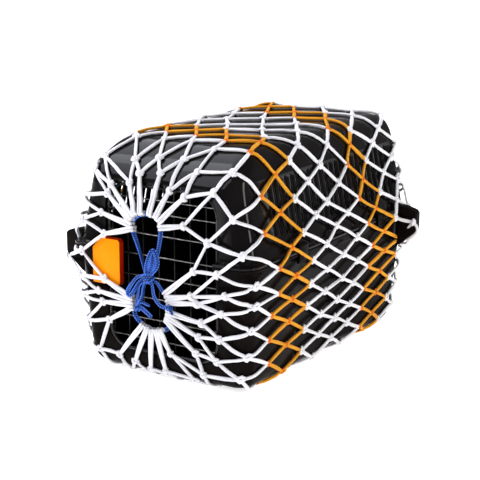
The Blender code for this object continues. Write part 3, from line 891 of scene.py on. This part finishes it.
def lay_out_knots(surface):
    """All the knots, by ring and column: even rings stand on a column, odd ones between two."""
    shake = random.Random(4)
    table = column_table()
    knots = {}
    for ring in range(LAST_RING + 1):
        for column in range(COLUMNS):
            if ring % 2 == 0:
                girth, way = driven_place(surface, table, ring, column)
            else:
                pairs = [between(driven_place(surface, table, near, column),
                                 driven_place(surface, table, near, column + 1))
                         for near in (ring - 1, ring + 1)]
                girth, way = between(*pairs)
            girth += shake.uniform(-KNOT_SLIP_ROUND, KNOT_SLIP_ROUND)
            way += shake.uniform(-KNOT_SLIP_BACK, KNOT_SLIP_BACK)
            knots[ring, column] = surface.on_way(girth, way)
    for column, point in RING_2_FRONT.items():
        knots[-2, column % COLUMNS] = surface.outside(Vector(point))
    for column, (point, _) in RING_3_FRONT.items():
        knots[-3, column % COLUMNS] = surface.outside(Vector(point))
    for column in range(COLUMNS):
        after = (column + 1) % COLUMNS
        middle = (knots[0, column] + knots[0, after] + knots[-2, column] + knots[-2, after]) / 4
        knots[-1, column] = surface.nearest(middle)[0]
    for column, point in RING_1_FRONT.items():
        knots[-1, column % COLUMNS] = surface.outside(Vector(point))
    for place, point in PROUD_KNOTS.items():
        knots[place] = Vector(point)
    return knots


def next_knots(ring, column):
    """The two knots of the next ring that this one's strands run to."""
    if ring % 2 == 0:
        return ((ring + 1, (column - 1) % COLUMNS), (ring + 1, column))
    return ((ring + 1, column), (ring + 1, (column + 1) % COLUMNS))


def net_strand(batch, surface, start, finish, orange, shake):
    """A strand from knot to knot over the taut surface. It bows sideways, leans and turns."""
    run = finish - start
    bow = shake.uniform(-STRAND_BOW, STRAND_BOW)
    path, facing = [], []
    for i in range(STRAND_STEPS + 1):
        t = i / STRAND_STEPS
        point = start.lerp(finish, t)
        normal = surface.nearest(point)[1]
        across = run.cross(normal).normalized()
        path.append(surface.outside(point + across * (bow * math.sin(math.pi * t))))
        facing.append(normal)
    lean = shake.uniform(-STRAND_LEAN, STRAND_LEAN)
    turn = lean + shake.choice((-1, 1)) * shake.uniform(*STRAND_TURN)
    width = (ORANGE_HALF_WIDTH if orange else WHITE_HALF_WIDTH) * shake.uniform(*WIDTH_SPREAD)
    depth = ORANGE_HALF_THICKNESS if orange else WHITE_HALF_THICKNESS
    batch.add(path, width, depth, facing, (lean, turn), sides=CORD_SIDES, pinch=0.72,
              crease=CORD_CREASE)


def bent_strand(batch, points):
    """The strand led round the right wing, its flat side to the front right."""
    path = smooth_path(points, WING_STRAND_STEP)
    batch.add(path, WHITE_HALF_WIDTH, WHITE_HALF_THICKNESS, Vector((0.8, -0.5, 0.4)),
              sides=CORD_SIDES, pinch=0.8, crease=CORD_CREASE)


def hooked_strand(batch, knot, hook, centre, offset, shake):
    """From a knot of the ring nearest the mouth over the drawcord and back behind it."""
    target = Vector((hook[0], HOOK_Y, hook[1]))
    inward = Vector((centre[0] - hook[0], 0, centre[1] - hook[1])).normalized()
    beside = inward.cross(BACKWARD) * offset
    run = target - knot
    path = smooth_path([knot + run * share + FORWARD * forward + beside * aside + inward * inside
                        for share, forward, aside, inside in HOOK_WAY], HOOK_STEP)
    lean = shake.uniform(-0.3, 0.3)
    batch.add(path, WHITE_HALF_WIDTH * HOOKED_SHARE, WHITE_HALF_THICKNESS, FORWARD,
              (lean, lean + shake.uniform(-0.5, 0.5)), pinch=0.85)


def knot_wraps(batch, surface, place, along, orange, shake):
    """The turns of one sheet bend, each a little askew; those of orange cord are smaller."""
    normal = surface.nearest(place)[1]
    along = (along - normal * along.dot(normal)).normalized()
    along = Matrix.Rotation(shake.uniform(-0.35, 0.35), 3, normal) @ along
    across = along.cross(normal)
    size = (ORANGE_BEND_SIZE if orange else 1) * shake.uniform(*BEND_SPREAD)
    radius = (ORANGE_BEND_RADIUS if orange else WHITE_BEND_RADIUS) * size
    for points in SHEET_BEND:
        path = smooth_path([place + (across * a + along * b + normal * c) * size
                            for a, b, c in points], BEND_STEP * size)
        batch.add(path, radius, radius * 0.9, normal, kind=int(orange), sides=6)


def build_net(white, orange, bend, *wrapped):
    """The whole net, drawn taut over the pieces that it wraps."""
    surface = TautSurface(*wrapped)
    knots = lay_out_knots(surface)
    shake = random.Random(11)
    whites, oranges, wraps = Strands(), Strands(), Strands()
    for ring in range(-3, LAST_RING):
        for column in range(COLUMNS):
            for following in next_knots(ring, column):
                is_orange = ring in ORANGE_STEPS
                if ((ring, column), following) == WING_STRAND:
                    bent_strand(whites, [knots[ring, column], *WING_CORNERS, knots[following]])
                    continue
                net_strand(oranges if is_orange else whites, surface, knots[ring, column],
                           knots[following], is_orange, shake)
    for column, (_, hook) in RING_3_FRONT.items():
        centre = MOUTH_CENTRES["upper" if hook[1] > MOUTH_SPLIT else "lower"]
        for offset in (-HOOK_SPREAD, HOOK_SPREAD):
            hooked_strand(whites, knots[-3, column % COLUMNS], hook, centre, offset, shake)
    for ring in range(-3, LAST_RING + 1):
        for column in range(COLUMNS):
            place = knots[ring, column]
            if ring < LAST_RING:
                ends = [knots[key] for key in next_knots(ring, column)]
                along = (ends[0] + ends[1]) / 2 - place
            else:
                along = Vector(BACK_GATHER) - place
            knot_wraps(wraps, surface, place, along, ring in ORANGE_STEPS, shake)
    white_mesh = whites.made("white_net_strands", white)
    orange_mesh = oranges.made("orange_net_strands", orange)
    # Orange knots take the deeper, redder copy of the orange braid: painted shade in their
    # crossings.
    knot_mesh = wraps.made("net_knots", white, bend)
    gather = build_back_gather(knots, white)
    for piece in (white_mesh, orange_mesh, knot_mesh, gather):
        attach(piece, "root")
    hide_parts("net_cover")


def build_back_gather(knots, white):
    """The strands drawn together behind the crate round a ring of the same cord."""
    batch = Strands()
    middle = Vector(BACK_GATHER)
    for column in range(COLUMNS):
        knot = knots[LAST_RING, column]
        outward = knot - middle
        outward.y = 0
        outward.normalize()
        rim = middle + outward * BACK_GATHER_RADIUS
        path = smooth_path([knot, knot.lerp(rim, 0.6) + BACKWARD * 1.5, rim + BACKWARD * 3,
                            rim - outward * 3 + BACKWARD * 0.5, rim - outward - BACKWARD * 2],
                           GATHER_STEP)
        batch.add(path, GATHER_HALF_WIDTH, GATHER_HALF_THICKNESS, BACKWARD)
    ring = []
    for i in range(GATHER_STEPS + 1):
        angle = 2 * math.pi * i / GATHER_STEPS
        outward = Vector((math.sin(angle), 0.03, math.cos(angle)))
        ring.append(middle + outward * BACK_GATHER_RADIUS)
    batch.add(ring, GATHER_HALF_WIDTH, GATHER_HALF_WIDTH, BACKWARD)
    return batch.made("back_gather", white)


# ==== tie
def braid_piece(name, batch, blue, replaced):
    piece = batch.made(name, blue)
    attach(piece, "root")
    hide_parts(replaced)
    return piece


def tie_piece(name, points, turns, blue, replaced, **facts):
    """A length of the flat braid, its flat side turned by the given angles along the way."""
    path = smooth_path(points, TIE_STEP)
    batch = Strands()
    batch.add(path, TIE_WIDTH / 2, TIE_THICKNESS / 2, Vector(TIE_FACING),
              tuple(math.radians(turn) for turn in turns), sides=10, pinch=0.85)
    piece = braid_piece(name, batch, blue, replaced)


def wrapped_knot(name, centre, turns, blue, replaced):
    """A knot as its turns of the same braid."""
    batch = Strands()
    for points, width, thickness in turns:
        path = smooth_path([Vector(centre) + Vector(point) for point in points], TIE_KNOT_STEP)
        batch.add(path, width / 2, thickness / 2, FORWARD, sides=10, pinch=0.8)
    return braid_piece(name, batch, blue, replaced)


def build_tie(blue):
    bow = wrapped_knot("bow_centre", BOW_KNOT, BOW_TURNS, blue, "bow_knot")
    left_knot = wrapped_knot("left_stopper_knot", END_KNOT_LEFT, LEFT_KNOT_TURNS, blue,
                             "end_knot_left")
    right_knot = wrapped_knot("right_stopper_knot", END_KNOT_RIGHT, RIGHT_KNOT_TURNS, blue,
                              "end_knot_right")
    tie_piece("drawcord_upper", UPPER_RUN, (80, 45, -5, 0, 0, 20, 45), blue, "cord_upper_run",
              far_end="object", lay="taut", with_pieces=[bow])
    tie_piece("drawcord_lower", LOWER_RUN, (35, 20, 0, 0, 40, 45), blue, "cord_lower_run",
              far_end="object", lay="taut")
    tie_piece("standing_loop", STANDING_LOOP, (20, -15, 10, 30), blue, "bow_standing_loop",
              far_end="object", lay="loose")
    tie_piece("left_loop", LEFT_LOOP, (45, 35, 10, 35, 45), blue, "bow_left_loop",
              far_end="object", lay="loose")
    tie_piece("left_outer_tail", TAIL_LEFT_OUTER, (60, 40), blue, "tail_left_outer",
              far_end="knot", lay="hanging", with_pieces=[left_knot])
    tie_piece("left_inner_tail", TAIL_LEFT_INNER, (-55, -40), blue, "tail_left_inner",
              far_end="object", lay="hanging")
    tie_piece("right_tail", TAIL_RIGHT, (45, 30, 20), blue, "tail_right",
              far_end="knot", lay="hanging", with_pieces=[right_knot])


# ==== studio
def area_light(name, place, aim, size, power, tint="#FFFFFF"):
    """A lit rectangle at place, turned to aim; lengths in metres, power in watts."""
    light = bpy.data.lights.new(name, "AREA")
    light.shape = "RECTANGLE"
    light.size, light.size_y = size
    light.energy = power
    light.color = linear(tint)[:3]
    lamp = bpy.data.objects.new(name, light)
    lamp.location = place
    lamp.rotation_euler = (Vector(aim) - Vector(place)).to_track_quat("-Z", "Y").to_euler()
    bpy.context.scene.collection.objects.link(lamp)


def build_studio(sheet):
    scene = bpy.context.scene
    scene.view_settings.view_transform = "Standard"
    world = bpy.data.worlds.new("white_room")
    world.use_nodes = True
    background = world.node_tree.nodes["Background"]
    background.inputs["Color"].default_value = linear("#FFFFFF")
    background.inputs["Strength"].default_value = 0.3
    scene.world = world
    corners = [(x * FLOOR_REACH, y * FLOOR_REACH, 0)
               for x, y in ((-1, -1), (1, -1), (1, 1), (-1, 1))]
    floor = solid("floor", corners, [(0, 1, 2, 3)], sheet)
    area_light("softbox_front", (-1.3, -1.1, 2), (0, -0.15, 0.25), (2.2, 2.2), 78, SOFTBOX_TINT)
    area_light("softbox_top", (-0.95, 0.15, 1.95), (0, -0.1, 0.2), (1.6, 1.6), 30, SOFTBOX_TINT)
    area_light("softbox_right", (1.9, 0.1, 0.9), (0, 0, 0.15), (0.4, 1.2), 21)
    area_light("strip_low", (0.95, -0.75, 0.08), (0.1, -0.2, 0.14), (0.12, 0.5), 0.5)
    camera = bpy.data.cameras.new("view")
    camera.lens = LENS
    camera.sensor_width = SENSOR
    camera.clip_end = 30
    eye = bpy.data.objects.new("view", camera)
    turn, lift = math.radians(VIEW_AZIMUTH), math.radians(VIEW_ELEVATION)
    level = math.cos(lift)
    back = Vector((math.sin(turn) * level, -math.cos(turn) * level, math.sin(lift)))
    eye.location = Vector(VIEW_TARGET) + back * VIEW_DISTANCE
    eye.rotation_euler = (-back).to_track_quat("-Z", "Y").to_euler()
    scene.collection.objects.link(eye)
    scene.camera = eye


# ==== all together
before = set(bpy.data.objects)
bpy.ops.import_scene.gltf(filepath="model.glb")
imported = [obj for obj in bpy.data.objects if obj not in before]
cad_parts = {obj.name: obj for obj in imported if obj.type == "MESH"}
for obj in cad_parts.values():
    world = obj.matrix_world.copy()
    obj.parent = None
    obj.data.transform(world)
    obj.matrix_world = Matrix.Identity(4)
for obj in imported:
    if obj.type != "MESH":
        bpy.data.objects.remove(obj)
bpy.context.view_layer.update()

black_plastic = moulded_plastic("black_satin_polypropylene", "#0C0908", "#15100F",
                                roughness=0.16, gloss_level=0.014)
lid_plastic = moulded_plastic("black_gloss_polypropylene", "#0A0808", "#131010",
                              roughness=0.04, gloss_level=0.11)
orange_plastic = moulded_plastic("orange_polypropylene", "#F28A00", "#F89400",
                                 roughness=0.4, gloss_level=0.06)
# A darker red copy of the latch's orange: painted shade for its edges.
orange_painted_edge_shade = moulded_plastic("orange_polypropylene_edge", "#B02000", "#C02A00",
                              roughness=0.4, gloss_level=0.06)
epoxy_wire = coated_wire("epoxy_coated_wire", "#101011", "#1E1C1B", metal=0)
# The same wire coat made light grey for the cross wires: painted highlight, not a different wire.
glint_painted_wire = coated_wire("thinly_coated_steel_wire", "#6E6B69", "#B4B0AC", metal=0.8)
white_cord = braided_cord("white_polyester_braid", "#F1EFF0", "#C4C2C7", plait=1.9)
orange_cord = braided_cord("orange_polyester_braid", "#E9A828", "#BE6E08", plait=1.7)
# A redder, deeper copy of the orange braid for the knots: painted shade in their crossings.
orange_knot_painted_shade = braided_cord("orange_braid_in_the_knots", "#E88A12", "#CA4604", plait=1.7)
blue_cord = braided_cord("blue_flat_braid", "#4C8AFF", "#000434", plait=2.8, groove=6.7, rough=0.6)
white_sheet = lit_sheet("backlit_white_acrylic")

build_studio(white_sheet)
build_tie(blue_cord)
tub_shell = build_shell("tub_shell", "crate_tub", TUB_OUTER, TUB_INNER,
                        [panel_cutter(side) for side in (-1, 1)], black_plastic)
lid_shell = build_shell("lid_shell", "crate_lid", LID_OUTER, LID_INNER, [vent_cutter()],
                        lid_plastic)
build_clips(black_plastic)
build_wings(black_plastic)
latch_plate = build_latch(orange_plastic, orange_painted_edge_shade)
build_door(epoxy_wire, glint_painted_wire)
build_net(white_cord, orange_cord, orange_knot_painted_shade, tub_shell, lid_shell, latch_plate)
